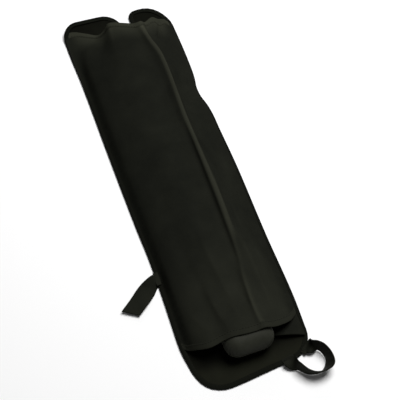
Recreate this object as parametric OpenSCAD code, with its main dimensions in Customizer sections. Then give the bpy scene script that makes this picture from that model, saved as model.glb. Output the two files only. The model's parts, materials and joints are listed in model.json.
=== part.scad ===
// Folding music stand in its soft carry bag.
// The bag lies on its back: +X across, +Y along the bag away from its mouth, +Z up.
// The origin is the middle of the bag's length and width, on the surface it rests on.

/* [Bag] */
// Width of the bag over its side bindings
bag_w = 140; // [125:1:180]
// Length of the front panel, from mouth hem to end hem
front_l = 446; // [360:1:560]
// Length of the back panel past the end hem
tab_l = 33; // [26:1:45]
// Length of the back panel from the mouth hem to the fold of the flap
lip_l = 26; // [21:1:36]
// Length of the closure flap past its fold
flap_l = 25; // [20:1:36]
// Thickness of the cloth with its lining
cloth_t = 1.2; // [0.9:0.1:1.6]
// Width of the binding tape along the edges
binding_w = 6; // [4.5:0.5:7.5]
// Thickness of the binding tape
binding_t = 0.6; // [0.4:0.1:0.8]
// Width of the notch between the two end tabs
notch_w = 12; // [8:1:18]
// Distance from the bag's centre line to the middle of the notch
notch_x = 12; // [4:1:20]
// Free width between the left binding and the folded desk
left_margin = 11; // [9:1:16]

/* [Webbing] */
// Width of the webbing
webbing_w = 20; // [15:1:25]
// Thickness of the webbing
webbing_t = 1.5; // [1:0.1:2]
// Length of the side strap that hangs free
strap_l = 52; // [35:1:90]
// Distance from the mouth hem to the side strap
strap_y = 101; // [60:1:160]

/* [Tripod] */
// Width of the moulded base hub
hub_w = 58; // [50:1:68]
// Height of the moulded base hub
hub_h = 32; // [30:1:38]
// Outside diameter of the outer tube
outer_d = 19; // [17:0.5:20]
// Outside diameter of the middle tube
mid_d = 16; // [14:0.5:16.5]
// Outside diameter of the top rod
rod_d = 12; // [10:0.5:12.5]
// Wall of the tubes
tube_wall = 0.9; // [0.7:0.1:1.1]
// Radial clearance where a tube slides or seats in a bore
slide_fit = 0.05; // [0.03:0.01:0.08]
// Thickness of a side leg
leg_t = 8; // [6:0.5:9]
// Height of a side leg
leg_h = 14; // [11:0.5:16]
// Diameter of the leg pins
pin_d = 5; // [4:0.5:6]
// Distance that the middle tube and the rod each pull out
tube_travel = 280; // [180:5:290]
// Distance that the rod's tip stays inside the end hem
rod_inset = 6; // [4:1:12]

/* [Clamps] */
// Outside diameter of the lower clamp collar
collar_d = 27; // [25:1:29]
// Length of a clamp collar
collar_l = 24; // [20:1:28]
// Diameter of the clamp screws
screw_d = 5; // [4:0.5:6]
// Distance across the wings of a clamp screw
wing_span = 21; // [17:1:22]

/* [Folded desk] */
// Width of the desk's spine
desk_w = 20; // [16:1:24]
// Thickness of one desk bar
bar_t = 1.5; // [1.2:0.1:1.8]
// Width of one desk bar
bar_w = 14; // [11:1:16]
// Diameter of the desk rivets
rivet_d = 4; // [3:0.5:5]
// Distance from the mouth hem to the near end of the desk
desk_inset = 14; // [10:1:30]
// Distance from the far end of the desk to the end hem
desk_short = 42; // [38:1:70]

/* [Hidden] */
$fn = 64;
eps = 0.01;

// lengthwise stations
overall_l = flap_l + lip_l + front_l + tab_l;
flap_end = -overall_l / 2;
fold_y = flap_end + flap_l;
mouth_y = fold_y + lip_l;
end_y = mouth_y + front_l;
tab_end = end_y + tab_l;

// bag
side_x = bag_w / 2;
edge_x = side_x - binding_t;
seam_x = side_x - binding_w;
rest_gap = binding_t + 0.3;
floor_z = cloth_t + rest_gap;
body_gap = 0.3;
flap_near_r = 24;
flap_far_r = 34;
tab_outer_r = 26;
tab_inner_r = 16;
notch_depth = tab_l - 6;
hem_w = 9;
hem_extra = 0.6;
facing_t = 0.8;
facing_l = 20;

// folded desk
desk_left = -seam_x + left_margin;
desk_right = desk_left + desk_w;
desk_x = desk_left + desk_w / 2;
desk_y0 = mouth_y + desk_inset;
desk_y1 = end_y - desk_short;
spine_t = 2;
socket_d = rod_d + 4;
socket_l = 32;
socket_z = floor_z + socket_d / 2;
thumb_h = 2.6;
desk_top = socket_z + socket_d / 2 + 0.4 + thumb_h;
stack_y0 = desk_y0 + socket_l + 14;
tongue_l = 10;
socket_end = 2;
stack_z = floor_z + spine_t;
ledge_lip = 4;
ledge_lip_t = 1.6;
clip_d = 2;
eye_h = 2.4;
rivet_head = 1;
rivet_fit = 0.03;

// tripod
content_gap = 6;
tripod_x = desk_right + content_gap + hub_w / 2;
tripod_z = floor_z + hub_h / 2;
hub_r = hub_h / 2;
hub_tip = fold_y + 2;
hub_y = hub_tip + hub_r;
hub_l = 36;
hub_back = hub_y + hub_l;
hub_top = floor_z + hub_h;
leg_x = hub_w / 2 - leg_t / 2 - 5;
leg_gap = 0.4;
pivot_y = hub_y + 18;
rear_t = hub_top - tripod_z - outer_d / 2 - 1;
rear_z = tripod_z + outer_d / 2 + 0.7 + rear_t / 2;
rear_w = 14;
rear_pin_d = 3;
pin_fit = 0.03;
tube_seat = 14;
tube_y0 = hub_back - tube_seat;

// clamps, worked back from the rod's tip
rod_tip = end_y - rod_inset;
stub_l = 12;
upper_y1 = rod_tip - stub_l;
mark_depth = 0.3;
mark_y0 = upper_y1 + 0.4;
mark_y1 = mark_y0 + 0.8;
upper_y0 = upper_y1 - collar_l;
lower_y1 = upper_y0 - 2;
clamp_seat = collar_l / 2 - screw_d / 2 - 0.8;
lower_y0 = lower_y1 - collar_l;
tube_y1 = lower_y0 + clamp_seat;
mid_y1 = upper_y0 + clamp_seat;
mid_y0 = tube_y0 + 16;
rod_y0 = mid_y0 + 18;
upper_collar_d = collar_d - 4;
foot_l = 22;
foot_wall = 1.2;
foot_y1 = lower_y0 - 4;
leg_y1 = foot_y1 - foot_wall;
screw_fit = 0.05;
boss_d = 10;
wing_t = 2.6;
head_l = 4;
wing_l = 9;

// front panel's section, as the cloth is drawn over what it holds
ridge_x = tripod_x + hub_w / 2 - 1;
right_w = seam_x - ridge_x;
flange_z = 2 * cloth_t;
section_knots = [
    [-edge_x, flange_z],
    [-seam_x, flange_z],
    [desk_left - 6.5, flange_z + 3.5],
    [desk_left - 4, desk_top - 4],
    [desk_left, desk_top + 4.5],
    [desk_right, desk_top + 7.5],
    [tripod_x - 12, hub_top + 5],
    [tripod_x + 12, hub_top + 5.5],
    [ridge_x - 4, hub_top + 7],
    [ridge_x, hub_top + 7.5],
    [ridge_x + 0.12 * right_w, hub_top + 2],
    [ridge_x + 0.42 * right_w, floor_z + hub_h * 0.42],
    [ridge_x + 0.74 * right_w, flange_z + 3],
    [seam_x, flange_z],
    [edge_x, flange_z]
];

// corner cutting: each pass rounds an open line and keeps its ends
function rounded(p) = [
    p[0],
    for (i = [0 : len(p) - 2]) each [p[i] * 0.75 + p[i + 1] * 0.25, p[i] * 0.25 + p[i + 1] * 0.75],
    p[len(p) - 1]
];
function normal_of(a, b) = [a[1] - b[1], b[0] - a[0]] / norm(b - a);
// an open line moved sideways by t, to its left for a positive t
function moved(p, t) = [
    for (i = [0 : len(p) - 1])
        let (
            n0 = normal_of(p[max(i - 1, 0)], p[max(i, 1)]),
            n1 = normal_of(p[min(i, len(p) - 2)], p[min(i + 1, len(p) - 1)])
        )
        p[i] + t * (n0 + n1) / (1 + n0 * n1)
];
function reversed(p) = [for (i = [len(p) - 1 : -1 : 0]) p[i]];
// closed outline of a strip that runs from out to in beside an open line
function strip(p, out, in) = concat(moved(p, out), reversed(moved(p, in)));
section = rounded(rounded(section_knots));

// turns a drawing of x and z into a solid that runs from y0 to y1
module along_y(y0, y1) {
    translate([0, y1, 0]) rotate([90, 0, 0]) linear_extrude(height = y1 - y0) children();
}
module rod_y(x, z, y0, y1, d) {
    translate([x, y1, z]) rotate([90, 0, 0]) cylinder(h = y1 - y0, d = d);
}
module rod_x(x0, x1, y, z, d) {
    translate([x0, y, z]) rotate([0, 90, 0]) cylinder(h = x1 - x0, d = d);
}
module box(x0, x1, y0, y1, z0, z1) {
    translate([x0, y0, z0]) cube([x1 - x0, y1 - y0, z1 - z0]);
}

/* ---- bag ---- */

// a corner square of side r at (x, y) with a quarter round in it, towards (sx, sy)
module corner_off(x, y, r, sx, sy) {
    translate([x, y]) mirror([sx < 0 ? 1 : 0, 0]) mirror([0, sy < 0 ? 1 : 0]) difference() {
        translate([-r, -r]) square(r + 5);
        translate([-r, -r]) circle(r);
        translate([-r - 5, -r - 5]) square([5, r + 10]);
        translate([-r - 5, -r - 5]) square([r + 10, 5]);
        translate([-2 * r, -r]) square([r, 2 * r]);
        translate([-r, -2 * r]) square([2 * r, r]);
    }
}

// outline of the whole back sheet, drawn in by inset all round
module sheet_outline(inset) {
    left = -side_x + inset;
    right = side_x - inset;
    low = flap_end + inset;
    high = tab_end - inset;
    notch_left = notch_x - notch_w / 2 - inset;
    notch_right = notch_x + notch_w / 2 + inset;
    difference() {
        translate([left, low]) square([right - left, high - low]);
        corner_off(left, low, flap_near_r - inset, -1, -1);
        corner_off(right, low, flap_far_r - inset, 1, -1);
        corner_off(left, high, tab_outer_r - inset, -1, 1);
        corner_off(right, high, tab_outer_r - inset, 1, 1);
        corner_off(notch_left, high, tab_inner_r - inset, 1, 1);
        corner_off(notch_right, high, tab_inner_r - inset, -1, 1);
        translate([notch_left, tab_end - notch_depth + notch_w / 2 - inset])
            square([notch_right - notch_left, notch_depth + tab_l]);
        translate([notch_x, tab_end - notch_depth + notch_w / 2 - inset])
            circle(d = notch_right - notch_left);
    }
}

// the back sheet between two stations, with its underside rebated for the binding
module back_sheet(y0, y1) {
    intersection() {
        union() {
            linear_extrude(height = cloth_t) sheet_outline(binding_w);
            translate([0, 0, binding_t]) linear_extrude(height = cloth_t - binding_t)
                sheet_outline(binding_t);
        }
        box(-side_x, side_x, y0, y1, 0, cloth_t);
    }
}

// binding tape round the edge of the back sheet between two stations
module sheet_binding(y0, y1) {
    difference() {
        intersection() {
            linear_extrude(height = cloth_t + binding_t) difference() {
                sheet_outline(0);
                sheet_outline(binding_w);
            }
            box(-side_x, side_x, y0, y1, 0, cloth_t + binding_t);
        }
        back_sheet(y0 - 1, y1 + 1);
    }
}

module back_panel() {
    color("#141511") back_sheet(fold_y + body_gap, tab_end);
}

module front_sheet(y0, y1) {
    along_y(y0, y1) polygon(strip(section, 0, -cloth_t));
}

module front_panel() {
    color("#1d1e19") front_sheet(mouth_y, end_y);
}

// side binding over both panels, and over the back panel alone at the lip
module side_binding(side) {
    lip_h = cloth_t + binding_t;
    seam_h = flange_z + binding_t;
    difference() {
        intersection() {
            union() {
                box(-side_x, side_x, mouth_y, end_y, 0, seam_h);
                intersection() {
                    linear_extrude(height = lip_h) sheet_outline(0);
                    box(-side_x, side_x, fold_y + 1.5, mouth_y, 0, lip_h);
                }
            }
            box(side > 0 ? seam_x : -side_x, side > 0 ? side_x : -seam_x, fold_y, end_y, 0, seam_h);
        }
        back_sheet(fold_y - 1, end_y + 1);
        front_sheet(mouth_y - eps, end_y + 1);
    }
}

module left_binding() {
    color("#23241f") side_binding(-1);
}

module right_binding() {
    color("#23241f") side_binding(1);
}

// folded hem over an edge of the front panel
module front_hem(y0, y1) {
    difference() {
        intersection() {
            along_y(y0, y1) polygon(strip(section, hem_extra, -cloth_t - hem_extra));
            box(-seam_x + eps, seam_x - eps, y0, y1, cloth_t, hub_top + 20);
        }
        front_sheet(mouth_y, end_y);
    }
}

module mouth_hem() {
    color("#30312b") front_hem(mouth_y - hem_extra, mouth_y + hem_w);
}

module end_hem() {
    color("#3a3b35") front_hem(end_y - hem_w, end_y + hem_extra);
}

module left_tab_binding() {
    color("#181914") intersection() {
        sheet_binding(end_y, tab_end);
        box(-side_x, notch_x, end_y, tab_end, 0, flange_z);
    }
}

module right_tab_binding() {
    color("#181914") intersection() {
        sheet_binding(end_y, tab_end);
        box(notch_x, side_x, end_y, tab_end, 0, flange_z);
    }
}

// lining facing that shows beside the hub inside the mouth
module mouth_facing() {
    x1 = seam_x - 0.2;
    x0 = tripod_x + hub_w / 2 + 1;
    y0 = mouth_y - facing_l;
    under = 12;
    color("#20211c") translate([0, 0, cloth_t]) linear_extrude(height = facing_t) {
        difference() {
            translate([x0, y0]) square([x1 - x0, facing_l - 1]);
            corner_off(x0, y0, 8, -1, -1);
        }
        translate([x0, mouth_y - 1]) square([right_w * 0.55, under]);
    }
}

module closure_flap() {
    color("#191a15") back_sheet(flap_end, fold_y - body_gap);
}

module flap_binding() {
    color("#262721") sheet_binding(flap_end, fold_y - 1.5);
}

/* ---- webbing ---- */

strap_root_y = mouth_y + strap_y;
strap_root_x = -side_x - 1;
strap_turn = 40;
root_w = webbing_w * 0.8;

module side_strap() {
    out = [-cos(strap_turn), -sin(strap_turn)];
    across = [-out[1], out[0]];
    tip = [strap_root_x, strap_root_y] + strap_l * out;
    color("#31322c") linear_extrude(height = webbing_t) polygon([
        [strap_root_x, strap_root_y + root_w / 2],
        tip - across * webbing_w / 2,
        tip + across * webbing_w / 2,
        [strap_root_x, strap_root_y - root_w / 2]
    ]);
}

module strap_anchor() {
    top = flange_z + binding_t;
    color("#3c3d38") box(-side_x, -seam_x - 0.4, strap_root_y - root_w / 2, strap_root_y + root_w / 2,
        top, top + webbing_t);
}

// the loop starts and ends at two roots on the flap's round corner, and stands on its edge
loop_root_a = [side_x - 1, flap_end + 22];
loop_root_b = [side_x - 28, flap_end - 2.5];
loop_path = rounded(rounded([
    loop_root_a,
    [side_x + 4, flap_end + 11],
    [side_x + 12, flap_end - 4],
    [side_x + 13.5, flap_end - 17],
    [side_x - 1, flap_end - 20],
    [side_x - 17, flap_end - 11],
    loop_root_b
]));
loop_z = cloth_t + binding_t + 0.5;
anchor_l = 13;
anchor_w = 13;

module loop_handle() {
    color("#1a1b16") translate([0, 0, loop_z]) linear_extrude(height = webbing_w - 2)
        polygon(strip(loop_path, webbing_t / 2, -webbing_t / 2));
}

// sewn ends of the loop, flat on the flap
module loop_anchors() {
    z = cloth_t + binding_t;
    color("#22231e") {
        translate([side_x - 25, fold_y - anchor_w - 2.5, z]) cube([anchor_l, anchor_w, webbing_t]);
        translate([side_x - 42, flap_end + 7, z]) cube([anchor_w, anchor_l, webbing_t]);
    }
}

/* ---- tripod ---- */

// the hub's rounded outline in x and z
module hub_outline() {
    for (side = [-1, 1]) translate([side * (hub_w / 2 - hub_r), 0]) circle(hub_r);
    square([hub_w - hub_h, hub_h], center = true);
}

module leg_bar(x, z, w, h, y1) {
    box(x - w / 2, x + w / 2, pivot_y, y1, z - h / 2, z + h / 2);
}

module base_hub() {
    slot_h = leg_h + 2 * leg_gap;
    slot_w = leg_t + 2 * leg_gap;
    slot_y = pivot_y - leg_h / 2 - leg_gap;
    color("#2d2e29") difference() {
        translate([tripod_x, 0, tripod_z]) union() {
            along_y(hub_y, hub_back) hub_outline();
            for (side = [-1, 1]) translate([side * (hub_w / 2 - hub_r), hub_y, 0]) sphere(hub_r);
            translate([hub_r - hub_w / 2, hub_y, 0]) rotate([0, 90, 0])
                cylinder(h = hub_w - hub_h, r = hub_r);
        }
        rod_y(tripod_x, tripod_z, tube_y0, hub_back + 1, outer_d + 2 * slide_fit);
        for (side = [-1, 1]) {
            inner = side * (leg_x - slot_w / 2);
            outer = side * (hub_w / 2 + 1);
            box(tripod_x + min(inner, outer), tripod_x + max(inner, outer), slot_y, hub_back + 1,
                tripod_z - slot_h / 2, tripod_z + slot_h / 2);
            translate([tripod_x + side * leg_x, pivot_y, 0]) cylinder(h = hub_top + 1, d = pin_d + 2 * pin_fit);
        }
        box(tripod_x - rear_w / 2 - leg_gap, tripod_x + rear_w / 2 + leg_gap, slot_y, hub_back + 1,
            rear_z - rear_t / 2 - leg_gap, hub_top + 1);
        rod_x(tripod_x - rear_w, tripod_x + rear_w, pivot_y, rear_z, rear_pin_d + 2 * pin_fit);
    }
}

module outer_tube() {
    color("#1c1d1c") difference() {
        rod_y(tripod_x, tripod_z, tube_y0, tube_y1, outer_d);
        rod_y(tripod_x, tripod_z, tube_y0 - 1, tube_y1 + 1, outer_d - 2 * tube_wall);
    }
}

// a side leg turns on an upright pin
module side_leg(side) {
    x = tripod_x + side * leg_x;
    difference() {
        union() {
            leg_bar(x, tripod_z, leg_t, leg_h, leg_y1);
            translate([x, pivot_y, tripod_z - leg_h / 2]) cylinder(h = leg_h, d = leg_t);
        }
        translate([x, pivot_y, 0]) cylinder(h = hub_top, d = pin_d + 2 * pin_fit);
    }
}

module left_leg() {
    color("#202120") side_leg(-1);
}

module right_leg() {
    color("#202120") side_leg(1);
}

module rear_leg() {
    color("#202120") difference() {
        union() {
            leg_bar(tripod_x, rear_z, rear_w, rear_t, leg_y1);
            rod_x(tripod_x - rear_w / 2, tripod_x + rear_w / 2, pivot_y, rear_z, rear_t);
        }
        rod_x(tripod_x - rear_w, tripod_x + rear_w, pivot_y, rear_z, rear_pin_d + 2 * pin_fit);
    }
}

module foot(x, z, w, h) {
    difference() {
        box(x - w / 2 - foot_wall, x + w / 2 + foot_wall, foot_y1 - foot_l, foot_y1,
            z - h / 2 - foot_wall, z + h / 2 + foot_wall);
        leg_bar(x, z, w, h, leg_y1);
    }
}

module left_foot() {
    color("#111111") foot(tripod_x - leg_x, tripod_z, leg_t, leg_h);
}

module right_foot() {
    color("#111111") foot(tripod_x + leg_x, tripod_z, leg_t, leg_h);
}

// the rear foot has no wall below, where the leg lies on the tube
module rear_foot() {
    color("#111111") intersection() {
        foot(tripod_x, rear_z, rear_w, rear_t);
        box(tripod_x - rear_w, tripod_x + rear_w, foot_y1 - foot_l, foot_y1,
            rear_z - rear_t / 2 - 0.2, hub_top + 3);
    }
}

module leg_pins() {
    half = leg_h / 2 + 5;
    color("#8a8b8a") {
        for (side = [-1, 1]) translate([tripod_x + side * leg_x, pivot_y, tripod_z - half])
            cylinder(h = 2 * half, d = pin_d);
        rod_x(tripod_x - rear_w / 2 - 4, tripod_x + rear_w / 2 + 4, pivot_y, rear_z, rear_pin_d);
    }
}

/* ---- clamps ---- */

// a collar with a stepped bore, a boss and a tapped hole on its +X side
module collar(y0, y1, d, seat_d, seat_l, bore_d) {
    mid = (y0 + y1) / 2;
    difference() {
        union() {
            rod_y(tripod_x, tripod_z, y0, y1, d);
            rod_x(tripod_x, tripod_x + boss_x(), mid, tripod_z, boss_d);
        }
        rod_y(tripod_x, tripod_z, y0 - 1, y0 + seat_l, seat_d + 2 * slide_fit);
        rod_y(tripod_x, tripod_z, y0 - 1, y1 + 1, bore_d + 2 * slide_fit);
        rod_x(tripod_x, tripod_x + boss_x() + 1, mid, tripod_z, screw_d + 2 * screw_fit);
    }
}

function boss_x() = collar_d / 2 + 3;

// a screw along +X whose tip stops just short of a tube of diameter held_d
module wing_screw(y, held_d) {
    x1 = tripod_x + boss_x() + 0.4;
    rod_x(tripod_x + held_d / 2 + 0.3, x1 + eps, y, tripod_z, screw_d);
    rod_x(x1, x1 + head_l, y, tripod_z, boss_d - 1);
    translate([x1 + head_l / 2, y, tripod_z]) intersection() {
        translate([0, -wing_span / 2, -wing_t / 2]) cube([wing_l, wing_span, wing_t]);
        for (side = [-1, 1]) translate([wing_l / 2, side * (wing_span / 2 - 5), -wing_t])
            cylinder(h = 2 * wing_t, r = 5);
    }
}

module lower_collar() {
    color("#181918") collar(lower_y0, lower_y1, collar_d, outer_d, tube_y1 - lower_y0, mid_d);
}

module lower_wing_screw() {
    color("#1b1c1b") wing_screw((lower_y0 + lower_y1) / 2, mid_d);
}

module middle_tube() {
    color("#b9babb") difference() {
        rod_y(tripod_x, tripod_z, mid_y0, mid_y1, mid_d);
        rod_y(tripod_x, tripod_z, mid_y0 - 1, mid_y1 + 1, mid_d - 2 * tube_wall);
        hole(mid_y0 + 6);
    }
}

// cross hole that a bush's button snaps into
module hole(y) {
    translate([tripod_x, y, tripod_z]) cylinder(h = 20, d = 3);
}

// guide bush round the lower end of the middle tube
module middle_bush() {
    bush_d = outer_d - 2 * tube_wall - 2 * slide_fit;
    color("#222322") {
        difference() {
            rod_y(tripod_x, tripod_z, mid_y0 - 3, mid_y0, bush_d);
            rod_y(tripod_x, tripod_z, mid_y0 - 4, mid_y0 + 1, mid_d - 4);
        }
    }
}

module upper_collar() {
    color("#181918") collar(upper_y0, upper_y1, upper_collar_d, mid_d, mid_y1 - upper_y0, rod_d);
}

module upper_wing_screw() {
    color("#1b1c1b") wing_screw((upper_y0 + upper_y1) / 2, rod_d);
}

module top_rod() {
    color("#b9babb") difference() {
        rod_y(tripod_x, tripod_z, rod_y0, rod_tip - 2, rod_d);
        rod_y(tripod_x, tripod_z, rod_y0 - 1, rod_tip, rod_d - 2 * tube_wall);
        // shallow ring that marks how far a desk's socket goes on
        difference() {
            rod_y(tripod_x, tripod_z, mark_y0, mark_y1, rod_d + 2);
            rod_y(tripod_x, tripod_z, mark_y0 - 1, mark_y1 + 1, rod_d - 2 * mark_depth);
        }
    }
}

module rod_bush() {
    bush_d = mid_d - 2 * tube_wall - 2 * slide_fit;
    color("#222322") difference() {
        rod_y(tripod_x, tripod_z, rod_y0 - 3, rod_y0, bush_d);
        rod_y(tripod_x, tripod_z, rod_y0 - 4, rod_y0 + 1, rod_d - 4);
    }
}

module rod_cap() {
    color("#222322") {
        rod_y(tripod_x, tripod_z, rod_tip - 2, rod_tip, rod_d);
        rod_y(tripod_x, tripod_z, rod_tip - 8, rod_tip - 2, rod_d - 2 * tube_wall - 2 * slide_fit);
    }
}

/* ---- folded desk ---- */

rivet_y = [stack_y0 + 10, (stack_y0 + desk_y1) / 2, desk_y1 - 10];

module rivet_holes(z0, z1) {
    for (y = rivet_y) translate([desk_x, y, z0 - 1]) cylinder(h = z1 - z0 + 2, d = rivet_d + 2 * rivet_fit);
}

module desk_spine() {
    color("#1e1f1f") difference() {
        box(desk_left, desk_right, desk_y0 + socket_l + socket_end, desk_y1, floor_z, stack_z);
        rivet_holes(floor_z, stack_z);
        for (y = rivet_y) translate([desk_x, y, floor_z - 1])
            cylinder(h = 1 + rivet_head, d = 2 * rivet_d + 2 * rivet_fit);
    }
}

// flat bar number i of the stack, with round ends
module bar(i, short0, short1) {
    z0 = stack_z + i * bar_t;
    y0 = stack_y0 + short0;
    y1 = desk_y1 - short1;
    difference() {
        translate([desk_x, 0, z0]) union() {
            translate([-bar_w / 2, y0 + bar_w / 2, 0]) cube([bar_w, y1 - y0 - bar_w, bar_t]);
            for (y = [y0 + bar_w / 2, y1 - bar_w / 2]) translate([0, y, 0]) cylinder(h = bar_t, d = bar_w);
        }
        rivet_holes(z0, z0 + bar_t);
    }
}

module left_lower_arm() {
    color("#222323") bar(0, 0, 4);
}

module right_lower_arm() {
    color("#222323") bar(1, 0, 8);
}

module left_upper_arm() {
    color("#222323") bar(2, 2, 0);
}

module right_upper_arm() {
    color("#222323") bar(3, 2, 2);
}

// a ledge bar has an upturned lip, on the side that s names, that keeps music on the desk
module ledge(i, side) {
    z0 = stack_z + i * bar_t;
    x0 = side > 0 ? desk_x + bar_w / 2 : desk_x - bar_w / 2 - ledge_lip_t;
    bar(i, 0, 0);
    box(x0, x0 + ledge_lip_t, stack_y0 + 30, desk_y1 - 30, z0, z0 + ledge_lip);
}

module left_ledge() {
    color("#1c1d1d") ledge(4, -1);
}

module right_ledge() {
    color("#1c1d1d") ledge(5, 1);
}

// spring wire clip that swings over the page
module page_clip(y0, y1) {
    z = stack_z + 6 * bar_t;
    color("#c0c1c2") {
        rod_y(desk_x, z + eye_h / 2, y0, y1, clip_d);
        for (y = [y0, y1]) translate([desk_x, y, z]) cylinder(h = eye_h, d = 7);
    }
}

module left_page_clip() {
    page_clip(rivet_y[0] + 14, rivet_y[1] - 24);
}

module right_page_clip() {
    page_clip(rivet_y[1] + 14, rivet_y[2] - 24);
}

module desk_rivets() {
    z1 = stack_z + 6 * bar_t;
    color("#8a8b8a") for (y = rivet_y) translate([desk_x, y, floor_z]) {
        cylinder(h = rivet_head, d = 2 * rivet_d);
        cylinder(h = z1 - floor_z, d = rivet_d);
        translate([0, 0, z1 - floor_z]) cylinder(h = rivet_head, d = 2 * rivet_d);
    }
}

// socket that the top rod goes into when the stand is put up, with a tongue on the spine
module desk_socket() {
    mid = desk_y0 + socket_l / 2;
    back = desk_y0 + socket_l;
    color("#181918") {
        difference() {
            rod_y(desk_x, socket_z, desk_y0, back, socket_d);
            rod_y(desk_x, socket_z, desk_y0 - 1, back, rod_d + 2 * slide_fit);
            translate([desk_x, mid, socket_z]) cylinder(h = socket_d, d = screw_d + 2 * screw_fit);
        }
        rod_y(desk_x, socket_z, back, back + socket_end, socket_d);
        box(desk_x - 5, desk_x + 5, back, back + tongue_l, stack_z, stack_z + 2);
    }
}

// low knurled screw that clamps the rod in the socket
module desk_thumb_screw() {
    mid = desk_y0 + socket_l / 2;
    z1 = socket_z + socket_d / 2 + 0.4;
    tip = socket_z + rod_d / 2 + 0.3;
    color("#1b1c1b") {
        translate([desk_x, mid, tip]) cylinder(h = z1 - tip + eps, d = screw_d);
        translate([desk_x, mid, z1]) cylinder(h = thumb_h, d = boss_d + 3);
    }
}

back_panel();
front_panel();
left_binding();
right_binding();
mouth_hem();
end_hem();
left_tab_binding();
right_tab_binding();
mouth_facing();
closure_flap();
flap_binding();
strap_anchor();
side_strap();
loop_anchors();
loop_handle();
base_hub();
outer_tube();
left_leg();
right_leg();
rear_leg();
left_foot();
right_foot();
rear_foot();
leg_pins();
lower_collar();
lower_wing_screw();
middle_tube();
middle_bush();
upper_collar();
upper_wing_screw();
top_rod();
rod_bush();
rod_cap();
desk_spine();
desk_socket();
desk_thumb_screw();
left_lower_arm();
right_lower_arm();
left_upper_arm();
right_upper_arm();
left_ledge();
right_ledge();
left_page_clip();
right_page_clip();
desk_rivets();
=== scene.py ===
"""Carry bag of a folding music stand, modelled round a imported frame."""

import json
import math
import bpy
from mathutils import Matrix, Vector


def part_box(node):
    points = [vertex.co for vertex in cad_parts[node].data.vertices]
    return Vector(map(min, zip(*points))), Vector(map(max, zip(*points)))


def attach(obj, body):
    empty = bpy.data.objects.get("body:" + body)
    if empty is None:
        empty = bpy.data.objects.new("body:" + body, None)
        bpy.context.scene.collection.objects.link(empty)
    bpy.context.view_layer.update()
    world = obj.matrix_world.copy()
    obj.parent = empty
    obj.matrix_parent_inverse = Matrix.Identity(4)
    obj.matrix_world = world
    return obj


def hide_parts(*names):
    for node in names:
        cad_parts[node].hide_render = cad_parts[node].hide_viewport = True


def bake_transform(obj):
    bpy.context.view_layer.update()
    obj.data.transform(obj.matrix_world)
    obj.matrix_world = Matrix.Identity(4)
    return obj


bl_info = {
    "name": "Music stand carry bag",
    "version": (1, 0, 0),
    "blender": (4, 5, 0),
    "location": "View3D > Sidebar > Stand Bag",
    "description": "Makes a cloth carry bag, its webbing and the folded music stand in it",
    "category": "Add Mesh",
}

import bpy
import bmesh
import numpy as np
from mathutils import Matrix, Vector, noise

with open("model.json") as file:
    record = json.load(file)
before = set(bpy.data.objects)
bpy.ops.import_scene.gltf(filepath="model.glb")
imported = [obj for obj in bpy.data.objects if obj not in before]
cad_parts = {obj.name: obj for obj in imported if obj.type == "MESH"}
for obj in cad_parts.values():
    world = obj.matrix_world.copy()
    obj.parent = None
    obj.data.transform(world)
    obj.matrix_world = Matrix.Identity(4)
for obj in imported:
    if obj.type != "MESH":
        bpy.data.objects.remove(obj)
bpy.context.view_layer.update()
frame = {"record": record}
MM = 0.001


# ---------------------------------------------------------------- places from the frame

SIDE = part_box("right_binding")[1][0] / MM
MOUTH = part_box("front_panel")[0][1] / MM
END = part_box("front_panel")[1][1] / MM
TAB_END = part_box("left_tab_binding")[1][1] / MM
FLAP_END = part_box("flap_binding")[0][1] / MM
ANCHOR_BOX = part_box("strap_anchor")
JOINTS = {j["name"]: j for j in frame["record"]["behaviour"]["joints"]}
FOLD = JOINTS["flap_fold"]["pos_m"][1] / MM
LOOP_AXIS = [v / MM for v in JOINTS["loop_lift"]["pos_m"][:2]]
LOOP_WAY = (-JOINTS["loop_lift"]["axis"][1], JOINTS["loop_lift"]["axis"][0])
STRAP_AXIS = [v / MM for v in JOINTS["strap_lift"]["pos_m"][:2]]
# soft pieces that bend between two bodies: the two bodies, then a point on the bend, its direction
# and its half width, in mm
BENDS = {
    "fold": ("bag", "flap", (0.0, FOLD), (0.0, -1.0), 2.0),
    "loop_root": ("flap", "loop", LOOP_AXIS, LOOP_WAY, 4.0),
    "strap_root": ("bag", "strap", STRAP_AXIS, (-1.0, 0.0), 4.0),
}


# ---------------------------------------------------------------- small tools


def linear(hex_colour, alpha=1.0):
    """sRGB hex, such as 1d1e19, to linear RGBA."""
    parts = [int(hex_colour[i : i + 2], 16) / 255 for i in (0, 2, 4)]
    return tuple(p / 12.92 if p <= 0.04045 else ((p + 0.055) / 1.055) ** 2.4 for p in parts) + (alpha,)


def colour_prop(name, text, hex_colour):
    """A colour setting whose default is an sRGB hex value."""
    return bpy.props.FloatVectorProperty(
        name=name, description=text, subtype="COLOR", size=4, min=0, max=1, default=linear(hex_colour)
    )


def through(points, ends_flat=False):
    """A smooth function of the first number that passes through the others, as a table of guide points."""
    p = np.array(points, float)
    t, v = p[:, 0], p[:, 1:]
    slope = np.zeros_like(v)
    step = (v[1:] - v[:-1]) / (t[1:] - t[:-1])[:, None]
    slope[1:-1] = (step[1:] + step[:-1]) / 2
    if not ends_flat:
        slope[0], slope[-1] = step[0], step[-1]

    def at(x):
        x = np.clip(np.atleast_1d(np.asarray(x, float)), t[0], t[-1])
        i = np.clip(np.searchsorted(t, x, side="right") - 1, 0, len(t) - 2)
        h = (t[i + 1] - t[i])[:, None]
        u = ((x - t[i]) / (t[i + 1] - t[i]))[:, None]
        return (
            (2 * u**3 - 3 * u**2 + 1) * v[i]
            + (u**3 - 2 * u**2 + u) * h * slope[i]
            + (3 * u**2 - 2 * u**3) * v[i + 1]
            + (u**3 - u**2) * h * slope[i + 1]
        )

    return at


def smooth_step(x, low, high):
    """0 below low, 1 above high and a smooth rise between them."""
    t = np.clip((np.asarray(x, float) - low) / (high - low), 0, 1)
    return t * t * (3 - 2 * t)


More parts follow.
